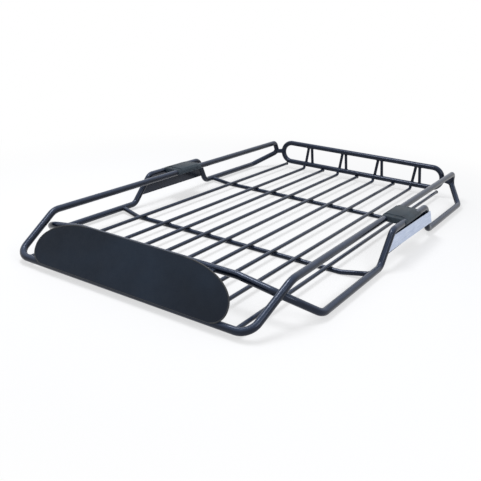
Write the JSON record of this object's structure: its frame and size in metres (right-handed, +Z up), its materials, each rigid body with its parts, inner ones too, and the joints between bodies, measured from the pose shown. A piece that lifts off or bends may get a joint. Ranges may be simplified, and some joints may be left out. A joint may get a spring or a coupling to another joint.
{
  "type": "roof basket",
  "caption": "Open steel roof basket: bent side tubes, rod floor on cross tubes, rear hoop with struts, sloped wind deflector, mid-side joint covers over arched side panels.",
  "frame": {"origin": "middle of the basket's length and width, at the underside of the cross tubes that it rests on", "axes": "+Z up, +Y from the wind deflector to the rear hoop, +X to the basket's right side as seen from the front in the picture"},
  "size_m": [1.0306, 1.6073, 0.1489],
  "materials": {
    "frame_steel": "glossy blue-black powder coat",
    "deflector_sheet": "matt black sheet",
    "cover_moulding": "dark grey satin moulding",
    "bright_plate": "bright brushed plate, bare"
  },
  "bodies": {
    "root": {"arch_front_leg_left": "frame_steel", "arch_front_leg_right": "frame_steel", "arch_rail_left": "frame_steel", "arch_rail_right": "frame_steel", "arch_rear_leg_left": "frame_steel", "arch_rear_leg_right": "frame_steel", "deflector_stays": "frame_steel", "fairing_tube": "frame_steel", "front_bar": "frame_steel", "front_cross_tube": "frame_steel", "front_lower_rail_left": "frame_steel", "front_lower_rail_right": "frame_steel", "front_upright_left": "frame_steel", "front_upright_right": "frame_steel", "joint_cover_left": "cover_moulding", "joint_cover_right": "cover_moulding", "rear_cross_tube": "frame_steel", "rear_link_left": "frame_steel", "rear_link_right": "frame_steel", "rear_loop_end_left": "frame_steel", "rear_loop_end_right": "frame_steel", "rear_lower_rail_left": "frame_steel", "rear_lower_rail_right": "frame_steel", "rear_lower_tube": "frame_steel", "rear_return_left": "frame_steel", "rear_return_right": "frame_steel", "rear_struts": "frame_steel", "rear_top_tube": "frame_steel", "side_panel_left": "frame_steel", "side_panel_right": "frame_steel", "side_plate_left": "bright_plate", "side_plate_right": "bright_plate", "slat_1": "frame_steel", "slat_2": "frame_steel", "slat_3": "frame_steel", "slat_4": "frame_steel", "slat_5": "frame_steel", "slat_6": "frame_steel", "slat_7": "frame_steel", "slat_8": "frame_steel", "slat_9": "frame_steel", "top_rail_left": "frame_steel", "top_rail_right": "frame_steel", "wind_deflector": "deflector_sheet"}
  },
  "joints": []
}
